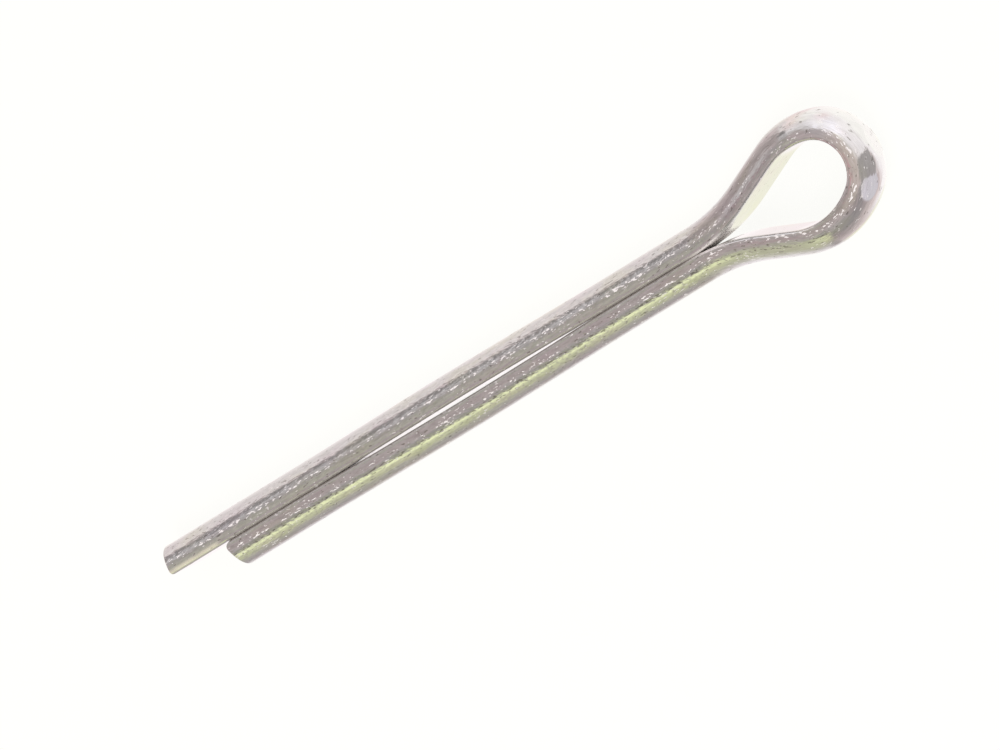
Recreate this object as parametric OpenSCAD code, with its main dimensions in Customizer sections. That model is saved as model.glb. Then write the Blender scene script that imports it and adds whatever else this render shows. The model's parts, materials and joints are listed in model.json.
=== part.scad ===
// Split cotter pin, nominal 4 x 40.
//
// One length of half-round wire, bent back on itself: an open eye, and two legs whose flats face each
// other and make up the round shank. The pin lies on a flat surface, with the loop of the eye level.
// The origin is on the axis of the shank, in the crotch, where the legs start to part into the eye.
// +X runs from the eye to the tips, the long leg is on the -Y side, and +Z is up.

/* [Wire] */
// Diameter of the shank, with both legs closed
shank_d = 3.65; // [2:0.05:8]
// Rounding along the two edges of the wire's flat
edge_r = 0.25; // [0.05:0.01:0.4]

/* [Legs] */
// Length from the seat of the eye to the end of the short leg
pin_length = 40.2; // [32:0.1:100]
// How much further the long leg reaches
leg_step = 4.2; // [0:0.1:15]
// Clearance of the closed shank in the hole that the pin is made for, on the diameter
hole_clearance = 0.35; // [0.1:0.05:1]
// Gap between the flats where the legs lie together
flats_gap = 0.04; // [0.02:0.01:0.3]
// How much wider that gap is at the middle of the bow
bow_spread = 0.19; // [0.02:0.01:1]
// Distance from the crotch to where the legs start to bow apart
bow_start = 7.8; // [1:0.1:10]
// Length of the bow, from where the flats part to where they meet again
bow_length = 20; // [16:0.1:24]

/* [Eye] */
// Inside length of the eye, from the crotch to the crown
eye_length = 12.7; // [10:0.1:25]
// Half of the inside width, on the side of the long leg
eye_half_long = 2.64; // [2:0.01:4]
// Half of the inside width, on the side of the short leg
eye_half_short = 2.22; // [1.8:0.01:4]
// How far the top of the crown sits towards the long leg
crown_shift = 0.43; // [0:0.01:0.8]
// Inside bend radius of the crown
crown_r = 2.1; // [1:0.05:3]
// Inside bend radius of the shoulders, between the crown and the arms
shoulder_r = 4.8; // [3.5:0.1:7]
// Bend radius of the flats at the crotch
crotch_r = 13; // [6:0.1:20]
// Depth of the flat that the bending tool leaves on the outside of the crown
crown_set = 0.15; // [0.01:0.01:0.3]
// Depth of the two marks that its jaw leaves beside that flat, towards the short leg
mark_set = 0.08; // [0.01:0.01:0.2]

/* [Cut ends] */
// Slant of the short leg's sheared end, which leaves its back shorter than its flat
short_cut = 8; // [0:1:30]
// Slant of the rough break that ends this cut, on the round side
short_break = 4; // [0:1:30]
// Share of the short leg's thickness that is cut before the rest breaks away
cut_share = 0.45; // [0.3:0.05:0.9]
// Slant of the long leg's sheared end, which leaves its flat shorter than its back
long_cut = 3; // [0:1:30]
// Rounded corner that the shear leaves on the flat of the short leg
short_roll = 0.55; // [0.05:0.01:0.6]
// Rounded corner that the shear leaves on the flat of the long leg
long_roll = 0.1; // [0.05:0.01:0.6]

/* [Hidden] */
$fn = 96;

// A leg is half of the round shank
leg_r = shank_d / 2;
// The straight lengths are this much slimmer than the bends and run this far into them,
// so that no two surfaces coincide where they join
hair = 0.002;
lap = 0.03;
// Straight between two bends that turn the same way
link = hair;
// Share of the way from the crotch to the shoulder that the crotch bend may take
crotch_share = 0.95;
// Beyond any part of the pin
far = 4 * shank_d;
// The way each mark on the crown faces, from the end of the crown towards the short leg, and how far it
// tips up
crown_marks = [[23, 50], [43, 45]];

half_gap = flats_gap / 2;

// Each half of the bow is an easy bend at its end, a straight, and half of the bend along its middle.
// The two radii are shares of the sum at which no straight would be left between the bends.
bow_end_share = 0.115;
bow_mid_share = 0.475;
bow_half = bow_length / 2;
bow_rise = bow_spread / 2;
bow_radii = (pow(bow_half, 2) + pow(bow_rise, 2)) / (2 * bow_rise);
bow_end_r = bow_end_share * bow_radii;
bow_mid_r = bow_mid_share * bow_radii;

// Two opposite bends of radii r1 and r2, joined by a straight, carry the path dx along and dy across.
// The centres of the bends are r1 above the start and r2 below the end.
function s_run(dx, dy, r1, r2) = norm([dx, dy - r1 - r2]);
function s_angle(dx, dy, r1, r2) =
    atan2(dy - r1 - r2, dx) + asin((r1 + r2) / s_run(dx, dy, r1, r2));
function s_straight(dx, dy, r1, r2) = sqrt(pow(s_run(dx, dy, r1, r2), 2) - pow(r1 + r2, 2));

// Each side of the eye is worked out on its own, from its half width w and the rise c of the crown's
// top towards it. The crown and the crotch bends are eased where the eye leaves them no room.
function crown_bend(w, c) = min(crown_r, w - c);
function crown_angle(w, c) =
    asin(min(1, (shoulder_r - w + c) / (shoulder_r - crown_bend(w, c))));
function shoulder_x(w, c) =
    eye_length - crown_bend(w, c) - (shoulder_r - crown_bend(w, c)) * cos(crown_angle(w, c));
function crotch_room(w, c) =
    (pow(shoulder_x(w, c), 2) + pow(half_gap + shoulder_r - w, 2) - pow(shoulder_r, 2))
    / (2 * (w - half_gap));
function crotch_bend(w, c) = min(crotch_r, crotch_share * crotch_room(w, c));
function arm_angle(w, c) = s_angle(shoulder_x(w, c), w - half_gap, crotch_bend(w, c), shoulder_r);
function arm_length(w, c) =
    s_straight(shoulder_x(w, c), w - half_gap, crotch_bend(w, c), shoulder_r);

// The eye seats in the mouth of its hole where the backs of the legs have spread to its width
seat_bend = crotch_bend(eye_half_short, -crown_shift);
seat_angle = acos(1 - hole_clearance / 2 / (seat_bend - leg_r));
seat_x = (seat_bend - leg_r) * sin(seat_angle);
short_end = pin_length - seat_x;
long_end = short_end + leg_step;

// Section of the wire: the flat on the Y axis and the round back towards +X, less a skin.
// A chord cuts each corner off, from the flat through the point where the corner's circle meets the
// back and on past it, and the circle rounds the corner out again.
module half_round(skin = 0) {
    corner_x = edge_r;
    corner_y = sqrt(pow(leg_r - edge_r, 2) - pow(edge_r, 2));
    past_back = 2;
    spread = edge_r / (leg_r - edge_r);
    chord_x = past_back * corner_x * (1 + spread);
    chord_y = corner_y * (1 + past_back * spread);
    intersection() {
        circle(leg_r - skin);
        polygon([
            [skin, -corner_y], [chord_x, -chord_y], [leg_r, -chord_y],
            [leg_r + far, 0],
            [leg_r, chord_y], [chord_x, chord_y], [skin, corner_y]
        ]);
    }
    for (side = [-1, 1])
        translate([corner_x, side * corner_y])
            circle(edge_r - skin + hair / 2);
}

// A straight length of wire along +X with its back towards +Y, and what follows it
module straight(length) {
    translate([-lap, 0, 0])
        rotate([90, 0, 90])
            linear_extrude(length + 2 * lap)
                half_round(hair);
    translate([length, 0, 0])
        children();
}

// A bend towards the flat, and what follows it
module bend_in(radius, angle) {
    translate([0, -radius, 0]) {
        rotate([0, 0, 90 - angle])
            rotate_extrude(angle = angle)
                translate([radius, 0]) half_round();
        rotate([0, 0, -angle])
            translate([0, radius, 0])
                children();
    }
}

// A bend towards the back, and what follows it
module bend_out(radius, angle) {
    translate([0, radius, 0]) {
        rotate([0, 0, -90])
            rotate_extrude(angle = angle)
                translate([radius, 0]) mirror([1, 0]) half_round();
        rotate([0, 0, angle])
            translate([0, -radius, 0])
                children();
    }
}

// One side of the pin on the +Y side, from the top of the crown to the tip of its leg
module side(w, c, end) {
    bow_angle = s_angle(bow_half, bow_rise, bow_end_r, bow_mid_r);
    bow_straight = s_straight(bow_half, bow_rise, bow_end_r, bow_mid_r);
    translate([-eye_length, c + link / 2, 0])
        rotate([0, 0, 90])
            bend_in(crown_bend(w, c), crown_angle(w, c))
            straight(link)
            bend_in(shoulder_r, 90 + arm_angle(w, c) - crown_angle(w, c))
            straight(arm_length(w, c))
            bend_out(crotch_bend(w, c), arm_angle(w, c))
            straight(bow_start)
            bend_out(bow_end_r, bow_angle)
            straight(bow_straight)
            bend_in(bow_mid_r, 2 * bow_angle)
            straight(bow_straight)
            bend_out(bow_end_r, bow_angle)
            straight(end - bow_start - bow_length);
}

// What the shear takes off the end of a leg on the +Y side. A slant above 0 leans back from the flat,
// and one below 0 leans back from the round side. The corner on the flat is left with a radius of roll.
// Where the cut ends, at the depth cut_y, the rest has broken away with a slant of its own.
module sheared_off(end, slant, roll, cut_y, break_slant) {
    away = [cos(slant), sin(slant)];
    pivot = [end, slant > 0 ? half_gap : half_gap + leg_r];
    corner = [pivot.x + (pivot.y - half_gap) * tan(slant), half_gap];
    centre = [corner.x - roll * (1 + sin(slant)) / cos(slant), half_gap + roll];
    knee = [corner.x - cut_y * tan(slant), half_gap + cut_y];
    cut_start = knee - far * [-sin(slant), cos(slant)];
    break_end = knee + far * [-sin(break_slant), cos(break_slant)];
    linear_extrude(far, center = true) {
        polygon([cut_start, knee, break_end, [end + far, break_end.y], [end + far, cut_start.y]]);
        difference() {
            polygon([
                centre, [centre.x, half_gap - lap], corner + lap * [1, -1],
                centre + (roll + lap) * away
            ]);
            translate(centre) circle(roll + hair / 2);
        }
    }
}

// The flat that the bending tool sets into the outside of the crown
module crown_flat() {
    translate([-eye_length - leg_r + crown_set - far, -far / 2, -far / 2])
        cube(far);
}

// What the jaw of the bending tool presses off the crown, where its bend faces turn in plan
module crown_mark(turn, tip) {
    bend = crown_bend(eye_half_short, -crown_shift);
    bend_end = min(turn, crown_angle(eye_half_short, -crown_shift));
    radius = turn > bend_end ? shoulder_r : bend;
    translate([bend - eye_length, -crown_shift, 0])
        rotate([0, 0, 180 - bend_end])
            translate([bend - radius, 0, 0])
                rotate([0, 0, bend_end - turn])
                    translate([radius, 0, 0])
                        rotate([0, -tip, 0])
                            translate([leg_r - mark_set, -far / 2, -far / 2])
                                cube(far);
}

module cotter_pin() {
    color("silver")
        difference() {
            union() {
                translate([-eye_length, -crown_shift - link / 2, 0])
                    rotate([0, 0, 90])
                        straight(link);
                difference() {
                    side(eye_half_short, -crown_shift, short_end);
                    sheared_off(short_end, short_cut, short_roll, cut_share * leg_r, short_break);
                }
                mirror([0, 1, 0])
                    difference() {
                        side(eye_half_long, crown_shift, long_end);
                        sheared_off(long_end, -long_cut, long_roll, leg_r, -long_cut);
                    }
            }
            crown_flat();
            for (mark = crown_marks)
                crown_mark(mark[0], mark[1]);
        }
}

cotter_pin();
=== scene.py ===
# Split cotter pin of half-round wire, lying flat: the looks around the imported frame.

import json
import math
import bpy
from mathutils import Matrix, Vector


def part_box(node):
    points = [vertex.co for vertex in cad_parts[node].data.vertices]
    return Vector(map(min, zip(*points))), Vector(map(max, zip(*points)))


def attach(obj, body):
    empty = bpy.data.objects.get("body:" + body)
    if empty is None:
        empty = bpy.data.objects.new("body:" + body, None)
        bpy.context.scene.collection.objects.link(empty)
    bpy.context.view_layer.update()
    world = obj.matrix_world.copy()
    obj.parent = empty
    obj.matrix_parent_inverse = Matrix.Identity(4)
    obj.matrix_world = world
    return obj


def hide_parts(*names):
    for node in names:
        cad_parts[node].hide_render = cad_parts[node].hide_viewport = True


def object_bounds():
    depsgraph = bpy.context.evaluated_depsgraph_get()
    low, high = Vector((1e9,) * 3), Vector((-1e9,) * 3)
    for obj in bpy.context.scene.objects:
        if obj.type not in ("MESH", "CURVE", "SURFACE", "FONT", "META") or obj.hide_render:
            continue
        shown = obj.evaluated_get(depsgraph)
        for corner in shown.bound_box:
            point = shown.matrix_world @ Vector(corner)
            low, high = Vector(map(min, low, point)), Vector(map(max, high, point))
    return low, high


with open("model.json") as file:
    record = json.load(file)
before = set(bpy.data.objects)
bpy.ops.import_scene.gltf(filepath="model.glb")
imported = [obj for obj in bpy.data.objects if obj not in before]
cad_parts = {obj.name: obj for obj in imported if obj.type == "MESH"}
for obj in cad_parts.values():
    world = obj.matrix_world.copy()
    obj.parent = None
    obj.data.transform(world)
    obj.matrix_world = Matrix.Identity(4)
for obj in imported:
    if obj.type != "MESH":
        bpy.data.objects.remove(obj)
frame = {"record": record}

from types import SimpleNamespace

import bpy
from mathutils import Matrix, Vector

MM = 0.001
NODE = "cotter_pin"
cad_low, cad_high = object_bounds()

# ---------------------------------------------------------------------------------------------
# Sizes of the wire and its bends, in millimetres
# ---------------------------------------------------------------------------------------------

# The shank's radius, the rounding of the wire's edges, and the gap between the flats
SHANK = next(mount for mount in frame["record"]["mounts"] if mount["name"] == "shank")
WIRE_R = SHANK["dims"]["r_mm"]
EDGE_R = 0.25
FLATS_GAP = 0.04
# The legs bow apart from start, over length, by spread. The bow's bends at its ends and its middle are
# shares of the radii that leave no straight between them.
BOW = {"start": 7.0, "length": 24.0, "spread": 0.18, "end_share": 0.115, "mid_share": 0.475}
# Inside length of the eye, and the inside radii of its bends at the crown, the shoulders and the crotch
EYE = {"length": 12.7, "crown_r": 2.1, "shoulder_r": 4.8, "crotch_r": 13.0}
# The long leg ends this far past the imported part, and the short leg this far short of the long one
END_PAST = 0.08
LEG_STEP = 4.3
LONG_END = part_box(NODE)[1].x / MM + END_PAST

# Each side of the pin: half of the eye's inside width, how far the crown's top rises towards it,
# where its leg ends, and how the shear cut it. The cut leans by slant degrees, the edge of the flat
# is rolled over by roll, and the back's edge carries a burr.
SHORT_SIDE = {"half": 2.22, "rise": -0.43, "end": LONG_END - LEG_STEP,
              "slant": 8.0, "roll": 0.5, "burr": 0.06}
LONG_SIDE = {"half": 2.64, "rise": 0.43, "end": LONG_END,
             "slant": -3.0, "roll": 0.12, "burr": 0.02}

# Height of the middle of the wire's rounded edges
EDGE_Z = math.sqrt((WIRE_R - EDGE_R) ** 2 - EDGE_R ** 2)
# A noise's middle value
NOISE_MIDDLE = 0.5
# Share of the gap between the flats that their crowning closes
CLOSED = 0.98
# The flats are brought together where the gap is near its least, up to this many times it
CLOSED_REACH = 1.4
# How much of the drawn surface's relief the flats keep, and down to which depth below them
FLAT_RELIEF = 0.15
FLAT_SKIN = 0.5 * EDGE_R

# Depth of the wire's middle line below its flat, as a share of its radius
MIDDLE = 0.42
# Distance between the wire's rings along the eye, along the legs and beside the cut ends
EYE_STEP = 0.09
LEG_RING_STEP = 0.16
TIP_STEP = 0.06
# How near a leg's end the rings lie closer, and where the eye's rings give way to the legs'
TIP_REACH = 2.0
EYE_REACH = 1.0
# The edge round a cut end is broken by this much, in this many rings. The cut face has its own rings,
# a hair apart along the wire. Their last is a point: what lies nearer than WELD, in metres, is joined.
BREAK = 0.07
BREAK_RINGS = 5
FACE_RINGS = 12
FACE_STEP = 1e-4
WELD = 1e-8
# Points round the section: across the flat, round each edge and round the back
FLAT_STEPS = 22
EDGE_STEPS = 8
BACK_STEPS = 56


def link(made):
    """Puts a new object in the scene."""
    bpy.context.scene.collection.objects.link(made)
    return made


class Tree:
    """A node tree being built. A value is a number, a vector, a colour or another node's output."""

    def __init__(self, tree):
        self.tree = tree

    def add(self, kind, inputs=None, out=0, **settings):
        node = self.tree.nodes.new(kind)
        for name, value in settings.items():
            setattr(node, name, value)
        for name, value in (inputs or {}).items():
            self.put(node.inputs[name], value)
        return node.outputs[out]

    def put(self, socket, value):
        if isinstance(value, bpy.types.NodeSocket):
            self.tree.links.new(value, socket)
        else:
            socket.default_value = value

    def math(self, operation, a, b=0.0):
        return self.add("ShaderNodeMath", {0: a, 1: b}, operation=operation)

    def vector(self, operation, a, b=(0, 0, 0), scale=1.0, out=0):
        inputs = {0: a, 1: b, 3: scale}
        return self.add("ShaderNodeVectorMath", inputs, out=out, operation=operation)

    def parts(self, vector):
        node = self.add("ShaderNodeSeparateXYZ", {0: vector}).node
        return node.outputs[0], node.outputs[1], node.outputs[2]

    def join(self, x, y, z):
        return self.add("ShaderNodeCombineXYZ", {0: x, 1: y, 2: z})

    def ramp(self, value, low, high, to_low=0.0, to_high=1.0, ease="SMOOTHSTEP"):
        inputs = {0: value, 1: low, 2: high, 3: to_low, 4: to_high}
        return self.add("ShaderNodeMapRange", inputs, interpolation_type=ease)

    def noise(self, vector, scale, detail=2.0, roughness=0.5):
        inputs = {"Vector": vector, "Scale": scale, "Detail": detail, "Roughness": roughness}
        return self.add("ShaderNodeTexNoise", inputs)

    def mix(self, share, a, b):
        node = self.tree.nodes.new("ShaderNodeMix")
        node.data_type = "RGBA"
        for socket, value in ((0, share), (6, a), (7, b)):
            self.put(node.inputs[socket], value)
        return node.outputs[2]

    def bands(self, turned, colours):
        """A smooth run of colours, (angle, colour) each, over the angles from -180 to 180."""
        node = self.add("ShaderNodeValToRGB", {0: self.ramp(turned, -180, 180, ease="LINEAR")}).node
        ramp = node.color_ramp
        ramp.elements.remove(ramp.elements[1])
        for i, (angle, colour) in enumerate(colours):
            element = ramp.elements.new((angle + 180) / 360) if i else ramp.elements[0]
            element.position = (angle + 180) / 360
            element.color = (*colour, 1)
        return node.outputs[0]

    def window(self, value, rise, fall):
        """1 between a pair of limits where it rises and a pair where it falls, and 0 outside them."""
        return self.math("MULTIPLY", self.ramp(value, *rise), self.ramp(value, *fall, 1, 0))

    def group(self, tree, values):
        """Places a node group, and gives its outputs by name."""
        node = self.tree.nodes.new("ShaderNodeGroup")
        node.node_tree = tree
        for name, value in values.items():
            self.put(node.inputs[name], value)
        return node.outputs

    def named(self, name, kind="FLOAT"):
        return self.add("GeometryNodeInputNamedAttribute", {"Name": name}, data_type=kind)

    def store(self, geometry, name, value, kind="FLOAT"):
        inputs = {"Geometry": geometry, "Name": name, "Value": value}
        return self.add("GeometryNodeStoreNamedAttribute", inputs, data_type=kind)

    def inputs(self, sockets):
        """Makes the tree's named inputs, (name, type, value) each, and gives their outputs by name."""
        for name, kind, value in sockets:
            socket = self.tree.interface.new_socket(name, in_out="INPUT", socket_type=kind)
            if value is not None:
                socket.default_value = value
        node = self.tree.nodes.new("NodeGroupInput")
        return {name: node.outputs[name] for name, _, _ in sockets}


# ---------------------------------------------------------------------------------------------
# The wire's line and section
# ---------------------------------------------------------------------------------------------

def opposite_bends(dx, dy, r1, r2):
    """Angle of two opposite bends that carry a path dx along and dy across, and the straight between."""
    run = math.hypot(dx, dy - r1 - r2)
    angle = math.atan2(dy - r1 - r2, dx) + math.asin((r1 + r2) / run)
    return angle, math.sqrt(run ** 2 - (r1 + r2) ** 2)


def side_moves(side):
    """The bends and straights from the top of the crown to a leg's tip: (length, radius, turn) each."""
    half_gap = FLATS_GAP / 2
    half, rise = side["half"], side["rise"]
    shoulder_r, crotch_r = EYE["shoulder_r"], EYE["crotch_r"]
    crown_r = min(EYE["crown_r"], half - rise)
    crown = math.asin(min(1, (shoulder_r - half + rise) / (shoulder_r - crown_r)))
    shoulder_x = EYE["length"] - crown_r - (shoulder_r - crown_r) * math.cos(crown)
    arm, arm_length = opposite_bends(shoulder_x, half - half_gap, crotch_r, shoulder_r)
    half_bow, bow_rise = BOW["length"] / 2, BOW["spread"] / 2
    radii = (half_bow ** 2 + bow_rise ** 2) / (2 * bow_rise)
    end_r, mid_r = BOW["end_share"] * radii, BOW["mid_share"] * radii
    bow, bow_straight = opposite_bends(half_bow, bow_rise, end_r, mid_r)
    return [
        (0, crown_r, crown),
        (0, shoulder_r, math.pi / 2 + arm - crown),
        (arm_length, 0, 0),
        (0, crotch_r, -arm),
        (BOW["start"], 0, 0),
        (0, end_r, -bow),
        (bow_straight, 0, 0),
        (0, mid_r, 2 * bow),
        (bow_straight, 0, 0),
        (0, end_r, -bow),
        (side["end"] - BOW["start"] - BOW["length"], 0, 0),
    ]


def spacing(x, end):
    """Distance between the wire's rings at x, on a leg that ends at end."""
    if x < EYE_REACH:
        return EYE_STEP
    return TIP_STEP if x > end - TIP_REACH else LEG_RING_STEP


def walk(side):
    """(x, y, heading) of the flat's line, from the top of the crown to the tip, on the +Y side."""
    x, y, heading = -EYE["length"], side["rise"], math.pi / 2
    points = [(x, y, heading)]
    for length, radius, turn in side_moves(side):
        total = left = length or radius * abs(turn)
        while left > 0:
            step = spacing(x, side["end"])
            step = left if left < 1.5 * step else step
            bend = turn * step / total
            chord = 2 * radius * math.sin(abs(bend) / 2) if turn else step
            heading -= bend / 2
            x += chord * math.cos(heading)
            y += chord * math.sin(heading)
            heading -= bend / 2
            points.append((x, y, heading))
            left -= step
    return points


def ring_centres(side):
    """(x, y, girth) of the wire's rings on one side. The last ones close its cut end to a point."""
    rings = []
    middle = MIDDLE * WIRE_R
    for x, y, heading in walk(side):
        if x < side["end"] - BREAK:
            rings.append((x - middle * math.sin(heading), y + middle * math.cos(heading), 1))
    y = FLATS_GAP / 2 + middle
    for i in range(BREAK_RINGS + 1):
        turn = math.pi / 2 * i / BREAK_RINGS
        inset = BREAK * (1 - math.cos(turn))
        rings.append((side["end"] - BREAK * (1 - math.sin(turn)), y, 1 - inset / middle))
    rim = rings[-1][2]
    for i in range(1, FACE_RINGS + 1):
        rings.append((side["end"] + FACE_STEP * i, y, rim * (1 - i / FACE_RINGS)))
    return rings


def poly_curve(name, points, closed=False):
    """A curve object through (x, y, radius) points in millimetres, in the XY plane."""
    curve = bpy.data.curves.new(name, "CURVE")
    curve.dimensions = "3D"
    spline = curve.splines.new("POLY")
    spline.points.add(len(points) - 1)
    for point, (x, y, radius) in zip(spline.points, points):
        point.co = (x * MM, y * MM, 0, 1)
        point.radius = radius
    spline.use_cyclic_u = closed
    return link(bpy.data.objects.new(name, curve))


def wire_line():
    """The wire's middle line, from the long leg's tip round the crown to the short leg's tip."""
    long_leg = [(x, -y, girth) for x, y, girth in ring_centres(LONG_SIDE)]
    return poly_curve("wire_line", long_leg[:0:-1] + ring_centres(SHORT_SIDE))


def wire_section():
    """The wire's half-round section: the flat, two rounded edges and the round back."""
    corner_y = EDGE_Z
    lean = math.atan2(EDGE_R, corner_y)
    outline = [(0, corner_y * (2 * i / FLAT_STEPS - 1)) for i in range(1, FLAT_STEPS)]
    for i in range(EDGE_STEPS + 1):
        turn = math.pi - (math.pi / 2 + lean) * i / EDGE_STEPS
        outline.append((EDGE_R * (1 + math.cos(turn)), corner_y + EDGE_R * math.sin(turn)))
    for i in range(1, BACK_STEPS):
        turn = (math.pi / 2 - lean) * (1 - 2 * i / BACK_STEPS)
        outline.append((WIRE_R * math.cos(turn), WIRE_R * math.sin(turn)))
    for i in range(EDGE_STEPS + 1):
        turn = math.pi + (math.pi / 2 + lean) * (1 - i / EDGE_STEPS)
        outline.append((EDGE_R * (1 + math.cos(turn)), EDGE_R * math.sin(turn) - corner_y))
    middle = MIDDLE * WIRE_R
    return poly_curve("wire_section", [(middle - x, y, 1) for x, y in outline], closed=True)


# ---------------------------------------------------------------------------------------------
# The wire, swept and marked by its tools
# ---------------------------------------------------------------------------------------------

# Flats that the bending tool pressed into the crown: the way each faces in plan, from -X towards +Y,
# how far it tips up, both in degrees, and how deep it is set
PRESSED_FLATS = [
    (23, 42, 0.10),
    (43, 37, 0.10),
]
# How far from its end a leg's shape is changed by the shear, in millimetres, and the share of its
# thickness past which the torn part bulges
SHEAR_REACH = 2.2
TORN_SHARE = 0.45
# The relief that the die leaves, from a noise stretched along the wire: the stretch and the fineness
# of its lines, the same for its slow waves, and the fineness of the pits. Fineness is per millimetre.
LINE_STRETCH = (0.07, 1, 1)
LINE_FINENESS = 2.2
WAVE_STRETCH = (0.5, 1, 1)
WAVE_FINENESS = 0.55
PIT_FINENESS = 2.4
# Where in the noise the pits are taken, and its values where a pit starts and where it is deepest
PIT_PLACE = (40, 0, 0)
PIT_LIMITS = (0.68, 0.8)


def wire_position(t, geometry):
    """Stores the wire attribute: the length along the wire, the depth below its flat and the height
    across it, in millimetres."""
    along = t.named("along")
    girth = t.named("girth")
    across, height, _ = t.parts(t.named("section", "FLOAT_VECTOR"))
    depth = t.math("SUBTRACT", MIDDLE * WIRE_R, t.math("MULTIPLY", across, girth))
    value = t.join(along, depth, t.math("MULTIPLY", height, t.math("MULTIPLY", girth, -1)))
    return t.store(geometry, "wire", value, "FLOAT_VECTOR")


def drawn_surface(t, geometry, given):
    """Raises and sinks the surface: lines from the drawing die, slow waves and small pits."""
    wire = t.named("wire", "FLOAT_VECTOR")
    lines = t.noise(t.vector("MULTIPLY", wire, LINE_STRETCH), LINE_FINENESS, detail=1)
    waves = t.noise(t.vector("MULTIPLY", wire, WAVE_STRETCH), WAVE_FINENESS, detail=1)
    lines = t.math("MULTIPLY", t.math("SUBTRACT", lines, NOISE_MIDDLE), given["Line Depth"])
    waves = t.math("MULTIPLY", t.math("SUBTRACT", waves, NOISE_MIDDLE), given["Wave Depth"])
    pits = t.noise(t.vector("ADD", wire, PIT_PLACE), PIT_FINENESS, detail=1)
    pits = t.math("MULTIPLY", t.ramp(pits, *PIT_LIMITS), given["Pit Depth"])
    rise = t.math("SUBTRACT", t.math("ADD", lines, waves), pits)
    _, depth, _ = t.parts(wire)
    rise = t.math("MULTIPLY", rise, t.ramp(depth, 0, FLAT_SKIN, FLAT_RELIEF * MM, MM))
    offset = t.vector("SCALE", t.add("GeometryNodeInputNormal"), scale=rise)
    return t.add("GeometryNodeSetPosition", {"Geometry": geometry, "Offset": offset})


def press_flat(t, geometry, point, facing):
    """Flattens what stands past the plane through point, in millimetres, that looks along facing."""
    past = t.vector("SUBTRACT", t.add("GeometryNodeInputPosition"), point * MM)
    past = t.math("MAXIMUM", t.vector("DOT_PRODUCT", past, facing, out="Value"), 0)
    offset = t.vector("SCALE", tuple(facing), scale=t.math("MULTIPLY", past, -1))
    return t.add("GeometryNodeSetPosition", {"Geometry": geometry, "Offset": offset})


def close_legs(t, geometry):
    """Brings the flats together where the legs touch, between their rounded edges."""
    _, y, z = t.parts(t.add("GeometryNodeInputPosition"))
    _, depth, _ = t.parts(t.named("wire", "FLOAT_VECTOR"))
    together = t.ramp(t.math("ABSOLUTE", y), FLATS_GAP * MM, CLOSED_REACH * FLATS_GAP * MM, 1, 0)
    together = t.math("MULTIPLY", together, t.math("LESS_THAN", depth, FLATS_GAP))
    crown = t.ramp(t.math("ABSOLUTE", z), EDGE_Z * MM, (EDGE_Z + 0.5 * EDGE_R) * MM, 1, 0)
    shift = t.math("MULTIPLY", t.math("MULTIPLY", together, crown), -CLOSED * FLATS_GAP / 2 * MM)
    offset = t.join(0, t.math("MULTIPLY", shift, t.math("SIGN", y)), 0)
    return t.add("GeometryNodeSetPosition", {"Geometry": geometry, "Offset": offset})


def crown_flats():
    """The planes of the flats on the crown, a point and a direction each."""
    planes = [(Vector((cad_low.x / MM, 0, 0)), Vector((-1, 0, 0)))]
    crown_r = EYE["crown_r"]
    centre = Vector((crown_r - EYE["length"], SHORT_SIDE["rise"], 0))
    for plan, tip, depth in PRESSED_FLATS:
        plan, tip = math.radians(plan), math.radians(tip)
        out = Vector((-math.cos(plan), math.sin(plan), 0))
        facing = out * math.cos(tip) + Vector((0, 0, math.sin(tip)))
        planes.append((centre + out * crown_r + facing * (WIRE_R - depth), facing))
    return planes


def shear_end(t, geometry, name, sign, given):
    """Shapes the cut end of the leg on the sign side of the pin."""
    x, y, _ = t.parts(t.add("GeometryNodeInputPosition"))
    _, depth, _ = t.parts(t.named("wire", "FLOAT_VECTOR"))
    end = t.math("MULTIPLY", given[name + " End"], MM)
    near = t.ramp(t.math("SUBTRACT", end, x), 0, SHEAR_REACH * MM, 1, 0)
    near = t.math("MULTIPLY", near, t.math("GREATER_THAN", t.math("MULTIPLY", y, sign), 0))
    slant = given[name + " Slant"]
    from_flat = t.math("MULTIPLY", depth, t.math("MAXIMUM", slant, 0))
    from_back = t.math("MULTIPLY", t.math("SUBTRACT", depth, WIRE_R), t.math("MINIMUM", slant, 0))
    roll = given[name + " Roll"]
    turn = t.math("SUBTRACT", 1, t.math("DIVIDE", depth, roll))
    turn = t.math("MINIMUM", t.math("MAXIMUM", turn, 0), 1)
    turn = t.math("SQRT", t.math("SUBTRACT", 1, t.math("MULTIPLY", turn, turn)))
    rolled = t.math("MULTIPLY", roll, t.math("SUBTRACT", 1, turn))
    bulge = t.ramp(depth, TORN_SHARE * WIRE_R, WIRE_R)
    bulge = t.math("MULTIPLY", bulge, given[name + " Burr"])
    drop = t.math("ADD", t.math("ADD", from_flat, from_back), t.math("SUBTRACT", rolled, bulge))
    shift = t.math("MULTIPLY", t.math("MULTIPLY", drop, near), -MM)
    offset = t.join(shift, 0, 0)
    return t.add("GeometryNodeSetPosition", {"Geometry": geometry, "Offset": offset})


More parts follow.
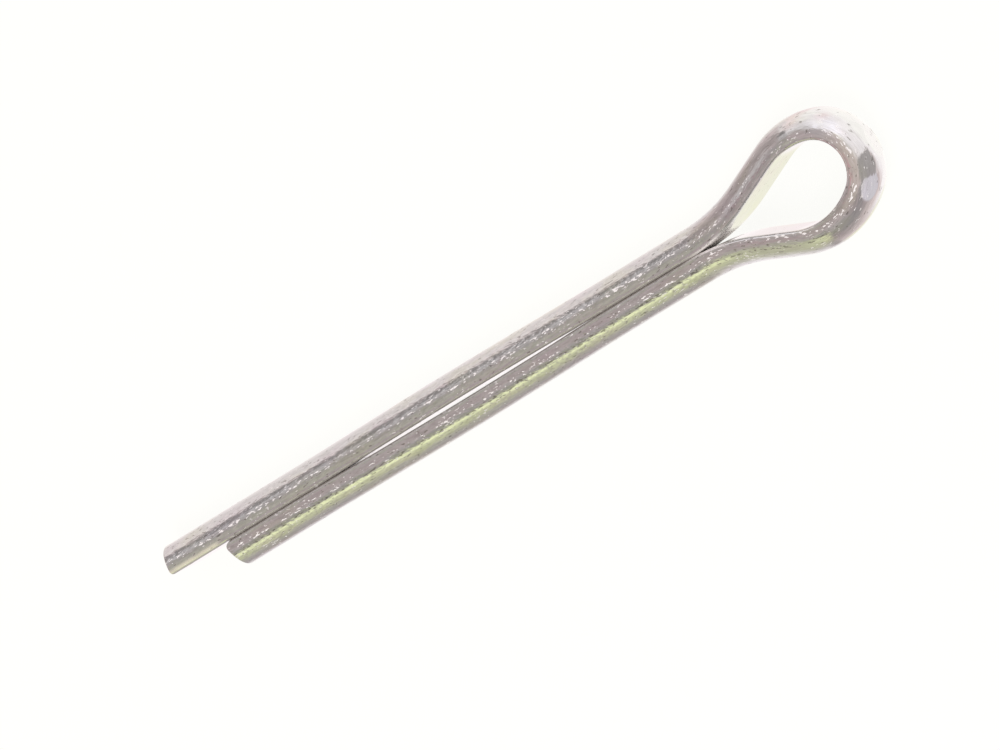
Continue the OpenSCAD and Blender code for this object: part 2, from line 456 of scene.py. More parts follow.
def wire_tree():
    """Sweeps the section along the line and marks the wire as the die, the bending tool and the shear do."""
    t = Tree(bpy.data.node_groups.new("wire_sweep", "GeometryNodeTree"))
    given = t.inputs([
        ("Line", "NodeSocketGeometry", None),
        ("Section", "NodeSocketObject", None),
        ("Line Depth", "NodeSocketFloat", 0.010),
        ("Wave Depth", "NodeSocketFloat", 0.018),
        ("Pit Depth", "NodeSocketFloat", 0.012),
        ("Long End", "NodeSocketFloat", LONG_SIDE["end"]),
        ("Long Slant", "NodeSocketFloat", math.tan(math.radians(LONG_SIDE["slant"]))),
        ("Long Roll", "NodeSocketFloat", LONG_SIDE["roll"]),
        ("Long Burr", "NodeSocketFloat", LONG_SIDE["burr"]),
        ("Short End", "NodeSocketFloat", SHORT_SIDE["end"]),
        ("Short Slant", "NodeSocketFloat", math.tan(math.radians(SHORT_SIDE["slant"]))),
        ("Short Roll", "NodeSocketFloat", SHORT_SIDE["roll"]),
        ("Short Burr", "NodeSocketFloat", SHORT_SIDE["burr"]),
        ("Finish", "NodeSocketMaterial", None),
    ])
    t.tree.interface.new_socket("Wire", in_out="OUTPUT", socket_type="NodeSocketGeometry")

    length = t.math("DIVIDE", t.add("GeometryNodeSplineParameter", out="Length"), MM)
    girth = t.add("GeometryNodeInputRadius")
    line = t.store(given["Line"], "along", length)
    line = t.store(line, "girth", girth)
    line = t.add("GeometryNodeSetCurveNormal", {"Curve": line}, mode="Z_UP")
    section = t.add("GeometryNodeObjectInfo", {"Object": given["Section"]}, out="Geometry")
    place = t.vector("SCALE", t.add("GeometryNodeInputPosition"), scale=1 / MM)
    section = t.store(section, "section", place, "FLOAT_VECTOR")
    wire = t.add("GeometryNodeCurveToMesh",
                 {"Curve": line, "Profile Curve": section, "Scale": girth})
    wire = t.add("GeometryNodeMergeByDistance", {"Geometry": wire, "Distance": WELD})
    wire = wire_position(t, wire)
    wire = drawn_surface(t, wire, given)
    for point, facing in crown_flats():
        wire = press_flat(t, wire, point, facing)
    wire = close_legs(t, wire)
    wire = shear_end(t, wire, "Long", -1, given)
    wire = shear_end(t, wire, "Short", 1, given)
    wire = t.add("GeometryNodeSetShadeSmooth", {"Geometry": wire})
    wire = t.add("GeometryNodeRealizeInstances", {"Geometry": wire})
    wire = t.add("GeometryNodeSetMaterial", {"Geometry": wire, "Material": given["Finish"]})
    t.put(t.tree.nodes.new("NodeGroupOutput").inputs["Wire"], wire)
    return t.tree


def swept_wire(finish):
    """The whole wire as one plain mesh."""
    line, section, tree = wire_line(), wire_section(), wire_tree()
    modifier = line.modifiers.new("sweep", "NODES")
    modifier.node_group = tree
    sockets = {item.name: item.identifier for item in tree.interface.items_tree}
    modifier[sockets["Section"]] = section
    modifier[sockets["Finish"]] = finish
    evaluated = line.evaluated_get(bpy.context.evaluated_depsgraph_get())
    mesh = bpy.data.meshes.new_from_object(evaluated)
    line.modifiers.clear()
    for helper in (line, section):
        bpy.data.objects.remove(helper)
    mesh.name = "wire"
    return link(bpy.data.objects.new("wire", mesh))


# ---------------------------------------------------------------------------------------------
# Finishes
# ---------------------------------------------------------------------------------------------

# Rows of marks along the wire's back, by their angle from its top edge in radians. The white flecks,
# partly scuffs and partly painted glints, run at one angle on the long leg and at another on the short
# leg, and move over within SCUFF_GLINT_TURN millimetres of the crown's top. On the short leg's arm they
# lie nearer the edge by ARM_LIFT.
LONG_SCUFF_GLINT = 0.425
SHORT_SCUFF_GLINT = 0.335
SCUFF_GLINT_TURN = 7.0
ARM_LIFT = 0.21
# The short leg also has a row of dark spots and a bright line, which is a painted highlight
SHORT_SPOTS = 0.52
SHORT_HIGHLIGHT = 0.60
# How near its middle each row is full, and how far out it ends, in radians
SCUFF_GLINT_ROW = (0.02, 0.13)
SPOT_ROW = (0.02, 0.12)
HIGHLIGHT_ROW = (0.03, 0.11)
# Places along the wire, in millimetres past the crown's top towards the short leg: the arm where the
# white flecks and their painted glints are lifted, the arm where they are few, and where they thin out
# towards the short leg's tip
LIFTED = ((4, 8), (12, 17))
FEW_SCUFF_GLINTS = ((-10, -7), (-3, -1))
THIN_SCUFF_GLINTS = (17, 19)
# The share of the white flecks and their painted glints that is gone where they are few, and the part of
# that share that is gone past THIN_SCUFF_GLINTS
FEW_SHARE = 0.8
THIN_SHARE = 0.3

# Sizes of the marks in millimetres, and the places in the noise that keep their patterns apart
FLECK_SIZE = 0.115
STRAY_SIZE = 0.12
STRAY_SEED = 17.0
SPOT_SIZE = 0.13
SPOT_SEED = 41.0
# How plain the stray flecks and the spots are, from 0 for unseen to 1
STRAY_STRENGTH = 0.6
SPOT_STRENGTH = 0.6
# Crowding of the spots in their row, and at most away from it
SPOT_CROWDING = 0.8
LOOSE_SPOTS = 0.36
# The marks' noise runs along the wire at this share of its pace across, which makes them long. A mark
# shows where the noise passes a limit, which crowding lowers, and its edge is as soft as this.
MARK_STRETCH = 0.36
SPARSE_LIMIT = 0.76
CROWDED_FALL = 0.26
MARK_EDGE = (-0.02, 0.03)
# The marks come in patches, from a noise with this stretch and fineness: the white flecks with their
# painted glints, the stray flecks and the yellowish strip. Each kind of mark has two limits of that
# noise, and its amount at each.
PATCH_STRETCH = (0.5, 1, 1)
PATCH_FINENESS = 1.2
SCUFF_GLINT_PATCHES = (0.35, 0.6, 0.4, 0.85)
STRAY_PATCHES = (0.4, 0.7, 0, 0.5)
YELLOWISH_PATCHES = (0.3, 0.5, 0.6, 1)

# Where the flats are matte and carry painted shade, in millimetres along the pin: this starts in the
# crotch, and stops before the short leg's end. Only the skin of the flat has it, and past the crotch
# only its edges.
DULL_SHADE_START = (-3.2, -2.0)
DULL_SHADE_STOP = (-0.6, -0.2)
DULL_SHADE_SKIN = (0.05, 0.16)
DULL_SHADE_EDGE = 0.1
CROTCH_END = (0.5, 3)
# Painted shade: the crotch is paler than the groove between the legs, and gives way to it here
PALE_CROTCH = (-1.5, 1.0)
# Past the short leg's end the long leg's flat has a darker matte rim and a pale yellowish strip below
# it. Both start near that end, and both are bands of depth below the flat.
RIM_START = (-0.1, 0.2)
RIM_BAND = ((0.01, 0.03), (0.07, 0.1))
YELLOWISH_START = (-0.3, 0.5)
YELLOWISH_BAND = ((0.07, 0.1), (0.2, 0.42))

# How the die's fine lines and the grain are stretched, how rough their noise is, how high the lines and
# the spots are beside the grain, and the depth of it all in millimetres
DRAWN_STRETCH = (0.22, 1, 1)
GRAIN_STRETCH = (0.40, 1, 1)
DRAWN_ROUGHNESS = 0.4
DRAWN_HEIGHT = 0.5
SPOT_HEIGHT = 0.5
BUMP_DEPTH = 0.013
# Two limits of the lines' noise, and how much they lighten or darken the plating at each
LIGHT_LINES = (0.5, 0.75, 0, 0.4)
DARK_LINES = (0.25, 0.5, 0.4, 0)
# Low on the back, past these angles, the lines fade towards their noise's middle by this share
EVEN_BACK = (0.9, 1.3)
EVENNESS = 0.7

# The film's tints drift: the stretch, fineness and limits of their noise, and where the violet is taken
FILM_STRETCH = (0.35, 1, 1)
FILM_FINENESS = 0.9
FILM_LIMITS = (0.48, 0.66)
VIOLET_PLACE = (31, 7, 5)

# Colours of the die's lines, and of the marks on the plating. Some of them are painted light: a painted
# highlight, painted shade in the crotch and the groove between the legs, and the white of the flecks,
# which partly stands for glints
LINE_LIGHT = (0.95, 0.95, 0.95, 1)
LINE_DARK = (0.58, 0.57, 0.56, 1)
PAINTED_HIGHLIGHT = (0.98, 1.0, 0.93, 1)
CROTCH_SHADE = (0.88, 0.855, 0.835, 1)
GROOVE_SHADE = (0.38, 0.36, 0.33, 1)
RIM = (0.46, 0.45, 0.38, 1)
YELLOWISH = (0.90, 0.91, 0.72, 1)
FLECK_AND_GLINT = (0.96, 0.95, 0.94, 1)
SPOT = (0.20, 0.19, 0.17, 1)
# How far each kind of mark is from bright metal, and how rough such marks are. The marks are the white
# flecks with their painted glints, the flats with their painted shade and the yellowish strip.
FLECK_MATTE = 0.9
DULL_SHADE_MATTE = 0.9
YELLOWISH_MATTE = 0.5
WORN_ROUGHNESS = 0.55
# Two limits of the grain, the bright plating's roughness at each, and the share of it on the flats
PLATED_ROUGHNESS = (0.3, 0.7, 0.05, 0.12)
FLAT_ROUGHNESS = 0.3


def crown_along():
    """Length of the wire's line from the long leg's tip to the top of the crown."""
    points = ring_centres(LONG_SIDE)
    return sum(math.dist(a[:2], b[:2]) for a, b in zip(points, points[1:]))


def finish_group(name, sockets, outputs):
    """A shader node group being built, with its named inputs' outputs."""
    t = Tree(bpy.data.node_groups.new(name, "ShaderNodeTree"))
    given = t.inputs(sockets)
    for output, kind in outputs:
        t.tree.interface.new_socket(output, in_out="OUTPUT", socket_type=kind)
    ends = t.tree.nodes.new("NodeGroupOutput").inputs
    return t, given, ends


def draw_lines():
    """Fine lines that the drawing die leaves along the wire, and the grain of the plating over them."""
    t, given, ends = finish_group("draw_lines", [
        ("Wire", "NodeSocketVector", None),
        ("Line Width", "NodeSocketFloat", 0.13),
        ("Grain Size", "NodeSocketFloat", 0.16),
    ], [("Lines", "NodeSocketFloat"), ("Grain", "NodeSocketFloat"), ("Height", "NodeSocketFloat")])
    fine = t.math("DIVIDE", 1, given["Line Width"])
    lines = t.vector("MULTIPLY", given["Wire"], DRAWN_STRETCH)
    lines = t.noise(lines, fine, detail=1, roughness=DRAWN_ROUGHNESS)
    coarse = t.math("DIVIDE", 1, given["Grain Size"])
    grain = t.vector("MULTIPLY", given["Wire"], GRAIN_STRETCH)
    grain = t.noise(grain, coarse, detail=1, roughness=DRAWN_ROUGHNESS)
    t.put(ends["Lines"], lines)
    t.put(ends["Grain"], grain)
    t.put(ends["Height"], t.math("ADD", t.math("MULTIPLY", lines, DRAWN_HEIGHT), grain))
    return t.tree


def specks():
    """Small ragged marks on the wire, longer along it than across, and thicker where Crowding is high."""
    t, given, ends = finish_group("specks", [
        ("Wire", "NodeSocketVector", None),
        ("Size", "NodeSocketFloat", 0.12),
        ("Crowding", "NodeSocketFloat", 0.0),
        ("Seed", "NodeSocketFloat", 0.0),
    ], [("Mask", "NodeSocketFloat")])
    along, depth, height = t.parts(given["Wire"])
    place = t.join(t.math("ADD", t.math("MULTIPLY", along, MARK_STRETCH), given["Seed"]), depth, height)
    marks = t.noise(place, t.math("DIVIDE", 1, given["Size"]), detail=1)
    limit = t.math("SUBTRACT", SPARSE_LIMIT, t.math("MULTIPLY", given["Crowding"], CROWDED_FALL))
    t.put(ends["Mask"], t.ramp(t.math("SUBTRACT", marks, limit), *MARK_EDGE))
    return t.tree


def plating_film():
    """The tint of the thin passivation film, which drifts along and round the wire."""
    t, given, ends = finish_group("plating_film", [
        ("Wire", "NodeSocketVector", None),
        ("Metal", "NodeSocketColor", (0.78, 0.78, 0.78, 1)),
        ("Olive", "NodeSocketColor", (0.78, 0.785, 0.71, 1)),
        ("Violet", "NodeSocketColor", (0.79, 0.755, 0.785, 1)),
        ("Strength", "NodeSocketFloat", 0.8),
    ], [("Color", "NodeSocketColor")])
    slow = t.vector("MULTIPLY", given["Wire"], FILM_STRETCH)
    olive = t.ramp(t.noise(slow, FILM_FINENESS, detail=3), *FILM_LIMITS)
    violet = t.vector("ADD", slow, VIOLET_PLACE)
    violet = t.ramp(t.noise(violet, FILM_FINENESS, detail=3), *FILM_LIMITS)
    colour = t.mix(t.math("MULTIPLY", olive, given["Strength"]), given["Metal"], given["Olive"])
    colour = t.mix(t.math("MULTIPLY", violet, given["Strength"]), colour, given["Violet"])
    t.put(ends["Color"], colour)
    return t.tree


def wire_place(t):
    """Where a point of the finish lies: on the wire, past the crown's top, along the pin from the crotch
    and from the short leg's end, all in millimetres, and what the patches of the marks are there."""
    wire = t.add("ShaderNodeAttribute", {}, out="Vector", attribute_name="wire")
    along, depth, height = t.parts(wire)
    x, _, _ = t.parts(t.add("ShaderNodeTexCoord", out="Object"))
    x = t.math("DIVIDE", x, MM)
    patchy = t.noise(t.vector("MULTIPLY", wire, PATCH_STRETCH), PATCH_FINENESS, detail=1)
    return SimpleNamespace(
        wire=wire,
        depth=depth,
        height=height,
        angle=t.math("ARCTAN2", depth, height),
        past_crown=t.math("SUBTRACT", along, crown_along()),
        x=x,
        past_end=t.math("SUBTRACT", x, SHORT_SIDE["end"]),
        patchy=patchy,
    )


def row(t, at, middle, limits, most=1.0):
    """A strip along the wire's back, round a middle angle."""
    away = t.math("ABSOLUTE", t.math("SUBTRACT", at.angle, middle))
    return t.ramp(away, *limits, most, 0)


def between_legs(t, at):
    """1 from the crotch to just before the short leg's end."""
    stop = (SHORT_SIDE["end"] + DULL_SHADE_STOP[0], SHORT_SIDE["end"] + DULL_SHADE_STOP[1])
    return t.window(at.x, DULL_SHADE_START, stop)


def white_flecks_and_glints(t, at, specks_group, scattered):
    """The row of white flecks along the top of each leg, partly scuffs and partly painted glints, and stray
    flecks all round as crowded as scattered.
    """
    middle = t.ramp(at.past_crown, -SCUFF_GLINT_TURN, SCUFF_GLINT_TURN, LONG_SCUFF_GLINT, SHORT_SCUFF_GLINT, "LINEAR")
    lift = t.math("MULTIPLY", t.window(at.past_crown, *LIFTED), ARM_LIFT)
    middle = t.math("SUBTRACT", middle, lift)
    few = t.window(at.past_crown, *FEW_SCUFF_GLINTS)
    few = t.math("MAXIMUM", few, t.ramp(at.past_crown, *THIN_SCUFF_GLINTS, 0, THIN_SHARE))
    scuffed_and_glinting = t.math("MULTIPLY", row(t, at, middle, SCUFF_GLINT_ROW), t.ramp(at.patchy, *SCUFF_GLINT_PATCHES))
    scuffed_and_glinting = t.math("MULTIPLY", scuffed_and_glinting, t.math("SUBTRACT", 1, t.math("MULTIPLY", few, FEW_SHARE)))
    values = {"Wire": at.wire, "Size": FLECK_SIZE, "Crowding": scuffed_and_glinting}
    flecks = t.group(specks_group, values)["Mask"]
    values = {"Wire": at.wire, "Size": STRAY_SIZE, "Crowding": scattered, "Seed": STRAY_SEED}
    stray = t.group(specks_group, values)["Mask"]
    return t.math("MAXIMUM", flecks, t.math("MULTIPLY", stray, STRAY_STRENGTH))


def dark_spots(t, at, specks_group, scattered, short_leg):
    """A row of spots on the short leg, and loose ones where stray flecks are scattered least."""
    crowding = t.math("MULTIPLY", row(t, at, SHORT_SPOTS, SPOT_ROW, SPOT_CROWDING), short_leg)
    crowding = t.math("MAXIMUM", crowding, t.math("SUBTRACT", LOOSE_SPOTS, scattered))
    values = {"Wire": at.wire, "Size": SPOT_SIZE, "Crowding": crowding, "Seed": SPOT_SEED}
    return t.group(specks_group, values)["Mask"]


def dull_shaded_flats(t, at, between):
    """Where the flats are matte and carry painted shade: in the crotch and along their edges between the
    legs. The long leg's flat also has a darker matte rim past the short leg's end."""
    skin = t.ramp(at.depth, *DULL_SHADE_SKIN, 1, 0)
    on_edge = t.ramp(t.math("ABSOLUTE", at.height), EDGE_Z - DULL_SHADE_EDGE, EDGE_Z)
    on_edge = t.math("MULTIPLY", on_edge, skin)
    in_crotch = t.math("MULTIPLY", t.ramp(at.x, *CROTCH_END, 1, 0), skin)
    dull_and_shade = t.math("MULTIPLY", between, t.math("MAXIMUM", on_edge, in_crotch))
    rim = t.math("MULTIPLY", t.ramp(at.past_end, *RIM_START), t.window(at.depth, *RIM_BAND))
    return t.math("MAXIMUM", dull_and_shade, rim)


def yellowish_strip(t, at):
    """A thin pale yellowish strip along the edges of the long leg's flat, past the short leg's end."""
    yellowish = t.math("MULTIPLY", t.ramp(at.past_end, *YELLOWISH_START), t.window(at.depth, *YELLOWISH_BAND))
    return t.math("MULTIPLY", yellowish, t.ramp(at.patchy, *YELLOWISH_PATCHES))


def plated_colour(t, at, lines, film):
    """The film's tint, lighter and darker along the die's lines."""
    even = t.math("MULTIPLY", t.ramp(at.angle, *EVEN_BACK), EVENNESS)
    streaks = t.math("MULTIPLY", lines["Lines"], t.math("SUBTRACT", 1, even))
    streaks = t.math("ADD", streaks, t.math("MULTIPLY", even, NOISE_MIDDLE))
    colour = t.mix(t.ramp(streaks, *LIGHT_LINES), film["Color"], LINE_LIGHT)
    return t.mix(t.ramp(streaks, *DARK_LINES), colour, LINE_DARK)


def plated_steel(groups):
    """Bright zinc plating over drawn wire, with white flecks along the top of each leg that are partly
    scuffs and partly painted glints, a painted highlight on the short leg and painted shade between the
    legs.
    """
    material = bpy.data.materials.new("plated_steel")
    material.use_nodes = True
    t = Tree(material.node_tree)
    shader = t.tree.nodes["Principled BSDF"]
    at = wire_place(t)
    lines = t.group(groups["draw_lines"], {"Wire": at.wire})
    film = t.group(groups["plating_film"], {"Wire": at.wire})
    scattered = t.ramp(at.patchy, *STRAY_PATCHES)
    short_leg = t.ramp(at.past_crown, 0, SCUFF_GLINT_TURN)
    between = between_legs(t, at)
    # White flecks along the top of each leg: partly scuffs, partly painted glints
    flecks = white_flecks_and_glints(t, at, groups["specks"], scattered)
    spots = dark_spots(t, at, groups["specks"], scattered, short_leg)
    # Painted shade on the flats in the crotch and the groove between the legs, and a darker rim past the
    # short leg's end
    dull_and_shade = dull_shaded_flats(t, at, between)
    # A pale yellowish strip on the long leg's flat past the short leg's end
    yellowish = yellowish_strip(t, at)
    # A painted highlight: a bright line along the short leg's back between the legs
    bright = t.math("MULTIPLY", row(t, at, SHORT_HIGHLIGHT, HIGHLIGHT_ROW), t.math("MULTIPLY", short_leg, between))

    # Colours of the painted shade between the legs: pale in the crotch, darker in the groove
    groove = t.mix(t.ramp(at.x, *PALE_CROTCH), CROTCH_SHADE, GROOVE_SHADE)
    groove = t.mix(t.ramp(at.past_end, *RIM_START), groove, RIM)
    colour = t.mix(bright, plated_colour(t, at, lines, film), PAINTED_HIGHLIGHT)
    colour = t.mix(dull_and_shade, colour, groove)
    colour = t.mix(yellowish, colour, YELLOWISH)
    colour = t.mix(flecks, colour, FLECK_AND_GLINT)
    colour = t.mix(t.math("MULTIPLY", spots, SPOT_STRENGTH), colour, SPOT)
    t.put(shader.inputs["Base Color"], colour)

    relief = t.math("SUBTRACT", lines["Height"], t.math("MULTIPLY", spots, SPOT_HEIGHT))
    relief = t.math("MULTIPLY", relief, t.ramp(at.depth, 0, FLAT_SKIN, FLAT_RELIEF, 1))
    bump = t.add("ShaderNodeBump", {"Height": relief, "Strength": 1.0, "Distance": BUMP_DEPTH * MM})
    t.put(shader.inputs["Normal"], bump)

    matte = t.math("MAXIMUM", t.math("MULTIPLY", flecks, FLECK_MATTE), t.math("MULTIPLY", dull_and_shade, DULL_SHADE_MATTE))
    matte = t.math("MAXIMUM", matte, t.math("MULTIPLY", yellowish, YELLOWISH_MATTE))
    t.put(shader.inputs["Metallic"], t.math("SUBTRACT", 1, matte))
    rough = t.ramp(lines["Grain"], *PLATED_ROUGHNESS)
    rough = t.math("MULTIPLY", rough, t.ramp(at.depth, 0, FLAT_SKIN, FLAT_ROUGHNESS, 1))
    rough = t.math("MAXIMUM", rough, t.math("MULTIPLY", matte, WORN_ROUGHNESS))
    t.put(shader.inputs["Roughness"], rough)
    return material


# ---------------------------------------------------------------------------------------------
# The stage, the light and the camera
# ---------------------------------------------------------------------------------------------

# Reflectance of the plating, and tints of the light: how much green and blue it has for its red
METAL = 0.78
ROSE = (0.86, 0.84)
GREY = (0.93, 0.91)
OLIVE = (0.96, 0.82)
GREEN = (1.02, 0.67)
MOSS = (0.99, 0.72)
PALE = (0.95, 0.95)
VIOLET = (0.96, 1.01)
CREAM = (0.975, 0.935)
CRIMSON = (0.56, 0.62)
BLUSH = (0.70, 0.73)
BUTTER = (0.985, 0.83)

# The studio is a half-light of soft bands that run along the pin. Each band is (angle about the pin
# from straight up, positive towards the short leg; shade that the plating takes from it; tint).
# These are the bands that the legs mirror, then the arms of the eye, then the broken edges of the tips.
LEG_BANDS = [
    (-180, 0.94, PALE), (-150, 0.89, GREY), (-136, 0.86, GREY), (-120, 0.82, GREY), (-98, 0.83, GREY),
    (-90, 0.87, GREY), (-85, 0.72, ROSE), (-81, 0.61, GREY), (-76, 0.51, GREY), (-70, 0.51, GREY),
    (-65, 0.57, PALE), (-58, 0.72, PALE), (-48, 0.61, GREY), (-38, 0.61, OLIVE),
    (-29, 0.66, OLIVE), (-14, 0.64, OLIVE), (-3, 0.61, GREY), (10, 0.67, ROSE),
    (25, 0.62, ROSE), (34, 0.67, ROSE), (42, 0.62, GREY), (48, 0.56, OLIVE), (56, 0.57, OLIVE),
    (62, 0.75, GREEN), (68, 0.86, GREEN), (75, 0.77, GREEN), (90, 0.73, GREEN), (104, 0.66, OLIVE),
    (124, 0.61, GREY), (136, 0.65, ROSE), (150, 0.79, PALE), (168, 0.92, PALE),
]
ARM_BANDS = [
    (-180, 0.96, PALE), (-170, 0.93, PALE), (-152, 0.89, ROSE), (-105, 0.91, ROSE),
    (-90, 0.85, ROSE), (-62, 0.84, PALE), (-54, 0.73, GREY), (-45, 0.66, ROSE),
    (-25, 0.68, ROSE), (-5, 0.66, ROSE), (12, 0.60, ROSE),
    (25, 0.62, ROSE), (38, 0.70, ROSE), (55, 0.63, GREY), (70, 0.58, OLIVE), (90, 0.60, ROSE),
    (115, 0.70, ROSE), (140, 0.82, ROSE), (153, 0.90, BUTTER), (162, 0.90, BUTTER), (175, 0.93, CREAM),
]
TIP_BANDS = [
    (-180, 0.93, PALE), (-150, 0.86, PALE), (-115, 0.78, ROSE), (-95, 0.68, ROSE), (-80, 0.62, ROSE),
    (-65, 0.60, ROSE), (-54, 0.68, ROSE), (-36, 0.60, GREY), (-15, 0.60, ROSE), (12, 0.64, ROSE),
    (34, 0.66, ROSE), (46, 0.65, OLIVE), (56, 0.71, GREEN), (65, 0.79, GREEN), (76, 0.75, GREEN),
    (90, 0.72, GREEN), (110, 0.71, OLIVE), (130, 0.77, GREY), (150, 0.88, PALE), (180, 0.93, PALE),
]
# Each slice of the studio is a direction's share along the pin, from -1 at the eye's end to 1 at the
# tips, and the bands there. Between two slices the one turns into the other.
STUDIO = [
    (-0.87, [
        (-180, 0.95, CREAM), (-110, 0.96, CREAM), (-55, 0.91, PALE), (15, 0.90, PALE), (25, 0.87, GREY),
        (38, 0.63, GREY), (70, 0.62, GREY), (84, 0.80, ROSE), (95, 0.78, ROSE), (125, 0.89, PALE),
        (150, 0.95, PALE),
    ]),
    (-0.66, [
        (-180, 0.97, CREAM), (-120, 0.95, CREAM), (-90, 0.94, PALE), (-45, 0.96, PALE), (-25, 0.89, PALE),
        (8, 0.86, GREY), (22, 0.62, GREY), (32, 0.61, GREY), (64, 0.61, GREY), (72, 0.78, VIOLET),
        (95, 0.78, VIOLET), (108, 0.73, ROSE), (125, 0.78, ROSE), (142, 0.95, PALE), (180, 0.97, CREAM),
    ]),
    (-0.44, [
        (-180, 0.98, CREAM), (-125, 0.98, CREAM), (-95, 0.92, PALE), (-70, 0.95, VIOLET), (-38, 1.0, VIOLET),
        (-25, 0.90, PALE), (-12, 0.82, PALE), (8, 0.74, ROSE), (40, 0.62, GREY), (54, 0.60, GREY),
        (63, 0.60, GREY), (68, 0.79, VIOLET), (97, 0.79, VIOLET), (106, 0.78, ROSE), (130, 0.85, ROSE),
        (152, 0.97, PALE), (180, 0.98, CREAM),
    ]),
    (-0.22, [
        (-180, 0.99, CREAM), (-120, 0.97, CREAM), (-95, 0.89, ROSE), (-65, 0.94, VIOLET),
        (-45, 0.97, VIOLET), (-33, 0.87, GREY), (-22, 0.75, ROSE), (5, 0.74, ROSE),
        (35, 0.75, ROSE), (44, 0.62, GREY), (54, 0.53, GREY), (68, 0.55, GREY),
        (88, 0.66, ROSE), (110, 0.80, ROSE), (128, 0.86, ROSE),
        (145, 0.97, PALE), (180, 0.99, CREAM),
    ]),
    (0.0, [
        (-180, 0.99, CREAM), (-120, 0.96, CREAM), (-90, 0.91, PALE), (-52, 0.94, VIOLET), (-45, 0.80, GREY),
        (-37, 0.67, GREY), (-15, 0.69, ROSE), (5, 0.73, ROSE), (30, 0.72, ROSE), (52, 0.62, ROSE),
        (66, 0.57, GREY), (87, 0.57, GREY), (100, 0.69, ROSE), (120, 0.82, ROSE), (140, 0.93, PALE),
        (155, 0.98, PALE), (180, 0.99, CREAM),
    ]),
    (0.20, [
        (-180, 0.98, CREAM), (-115, 0.94, CREAM), (-80, 0.87, PALE), (-56, 0.82, PALE), (-48, 0.71, GREY),
        (-36, 0.64, GREY), (-10, 0.70, ROSE), (8, 0.72, CRIMSON), (20, 0.66, ROSE), (35, 0.69, ROSE),
        (50, 0.62, GREY), (65, 0.58, OLIVE), (87, 0.57, GREY), (105, 0.67, ROSE), (125, 0.76, ROSE),
        (145, 0.86, ROSE), (153, 0.90, BUTTER), (162, 0.91, BUTTER), (170, 0.97, CREAM),
    ]),
    (0.34, ARM_BANDS),
    (0.39, ARM_BANDS),
    (0.447, LEG_BANDS),
    (0.465, LEG_BANDS),
    (0.52, TIP_BANDS),
    (0.55, TIP_BANDS),
    (0.74, [
        (-180, 0.90, PALE), (-135, 0.73, ROSE), (-115, 0.63, ROSE), (-80, 0.60, ROSE), (-66, 0.64, ROSE),
        (-55, 0.76, PALE), (-45, 0.72, PALE), (-35, 0.58, CRIMSON), (-10, 0.76, ROSE), (6, 0.74, ROSE),
        (18, 0.68, CRIMSON), (35, 0.65, OLIVE), (52, 0.69, MOSS), (95, 0.70, MOSS), (120, 0.77, OLIVE),
        (150, 0.90, PALE), (180, 0.93, PALE),
    ]),
    (0.90, [
        (-180, 0.80, ROSE), (-60, 0.74, ROSE), (-20, 0.78, BLUSH), (20, 0.74, BLUSH),
        (60, 0.68, BLUSH), (110, 0.70, ROSE), (180, 0.76, ROSE),
    ]),
]
# Colour that the camera sees of the floor and past it, and the floor's half width in metres, its own
# shade, its roughness and its glow
FLOOR_SEEN = (0.985, 0.985, 0.955, 1)
FLOOR_HALF = 1.5
FLOOR_SHADE = (0.10, 0.10, 0.10, 1)
FLOOR_ROUGHNESS = 0.9
FLOOR_GLOW = 0.935
# Width of the lamp and its distance in metres, its power in watts, and the degrees by which it stands
# off from overhead, towards the short leg's side
LAMP_SIZE = 0.3
LAMP_DISTANCE = 0.4
LAMP_POWER = 0.75
LAMP_TILT = 28.0
# The curve by which a screen turns light into shades
SCREEN_LIFT = 0.055
SCREEN_POWER = 2.4


def light(shade, tint):
    """The light that gives the plating a shade, from 0 for black to 1 for white on the screen."""
    red = ((shade + SCREEN_LIFT) / (1 + SCREEN_LIFT)) ** SCREEN_POWER / METAL
    return red, red * tint[0], red * tint[1]


def surroundings():
    """The studio round the pin, which lights it and is mirrored in it. The camera itself sees a plain
    pale surround."""
    world = bpy.data.worlds.new("surroundings")
    bpy.context.scene.world = world
    world.use_nodes = True
    t = Tree(world.node_tree)
    x, y, z = t.parts(t.add("ShaderNodeTexCoord", out="Generated"))
    angle = t.math("MULTIPLY", t.math("ARCTAN2", y, z), 180 / math.pi)
    colours, before = None, None
    for share, rows in STUDIO:
        bands = t.bands(angle, [(turn, light(shade, tint)) for turn, shade, tint in rows])
        if colours:
            bands = t.mix(t.ramp(x, before, share, ease="LINEAR"), colours, bands)
        colours, before = bands, share
    seen = t.add("ShaderNodeLightPath", out="Is Camera Ray")
    t.put(t.tree.nodes["Background"].inputs["Color"], t.mix(seen, colours, FLOOR_SEEN))


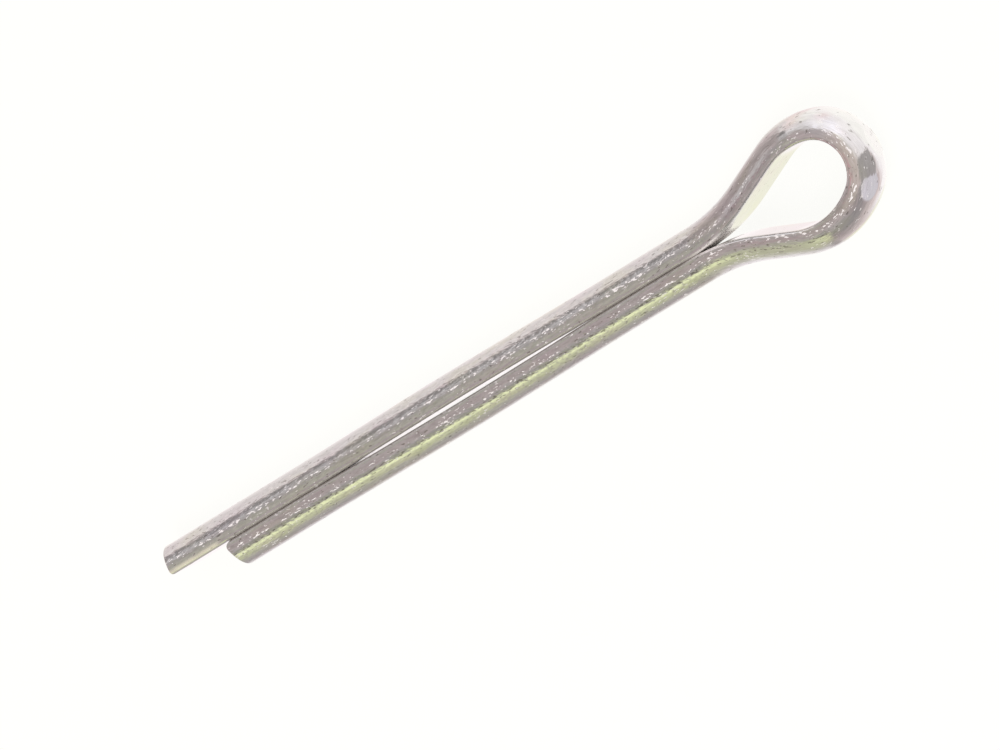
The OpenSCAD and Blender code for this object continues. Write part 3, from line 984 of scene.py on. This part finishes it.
def floor(z):
    """A plain pale floor that glows, as a light table does. The metal mirrors the studio, not the floor."""
    half = FLOOR_HALF
    mesh = bpy.data.meshes.new("floor")
    corners = [(-half, -half, z), (half, -half, z), (half, half, z), (-half, half, z)]
    mesh.from_pydata(corners, [], [(0, 1, 2, 3)])
    material = bpy.data.materials.new("floor")
    material.use_nodes = True
    shader = material.node_tree.nodes["Principled BSDF"]
    shader.inputs["Base Color"].default_value = FLOOR_SHADE
    shader.inputs["Roughness"].default_value = FLOOR_ROUGHNESS
    shader.inputs["Specular IOR Level"].default_value = 0.0
    shader.inputs["Emission Color"].default_value = FLOOR_SEEN
    shader.inputs["Emission Strength"].default_value = FLOOR_GLOW
    mesh.materials.append(material)
    made = link(bpy.data.objects.new("floor", mesh))
    made.visible_glossy = False


def lamp():
    """A soft lamp above the pin. Bright metal doesn't show it, but the matte white flecks, the matte flats
    with their painted shade and the yellowish strip do.
    """
    data = bpy.data.lights.new("lamp", "AREA")
    data.shape = "DISK"
    data.size = LAMP_SIZE
    data.energy = LAMP_POWER
    made = link(bpy.data.objects.new("lamp", data))
    tilt = math.radians(LAMP_TILT)
    made.matrix_world = Matrix.Rotation(-tilt, 4, "X")
    made.location = TARGET + made.matrix_world.col[2].xyz * LAMP_DISTANCE
    made.visible_glossy = False


# The camera looks down on the pin from the side of the eye, leans a little towards the short leg, and is
# rolled so that the shank climbs across the view. Angles are in degrees. The view is a parallel one, so
# its width, in millimetres, sets the scale and its distance doesn't.
TARGET = Vector((16.4, -0.08, 0)) * MM
CAMERA_TILT = 27.0
CAMERA_LEAN = 2.65
SHANK_CLIMB = 31.46
VIEW_WIDTH = 62.29
VIEW_DISTANCE = 300.0


def camera():
    """A camera with a parallel view."""
    data = bpy.data.cameras.new("camera")
    data.type = "ORTHO"
    data.ortho_scale = VIEW_WIDTH * MM
    made = link(bpy.data.objects.new("camera", data))
    tilt, lean, climb = (math.radians(turn) for turn in (CAMERA_TILT, CAMERA_LEAN, SHANK_CLIMB))
    back = Vector((-math.sin(tilt) * math.cos(lean), math.sin(lean), math.cos(tilt) * math.cos(lean)))
    along = (Vector((1, 0, 0)) - back * back.x).normalized()
    across = back.cross(along)
    right = across * math.sin(climb) - along * math.cos(climb)
    up = -along * math.sin(climb) - across * math.cos(climb)
    place = Matrix((right, up, back)).transposed().to_4x4()
    place.translation = TARGET + back * VIEW_DISTANCE * MM
    made.matrix_world = place
    bpy.context.scene.camera = made


bpy.context.scene.view_settings.view_transform = "Standard"
camera()
floor(cad_low.z)
lamp()
surroundings()

groups = {"draw_lines": draw_lines(), "specks": specks(), "plating_film": plating_film()}
wire = swept_wire(plated_steel(groups))
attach(wire, "root")
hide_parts(NODE)
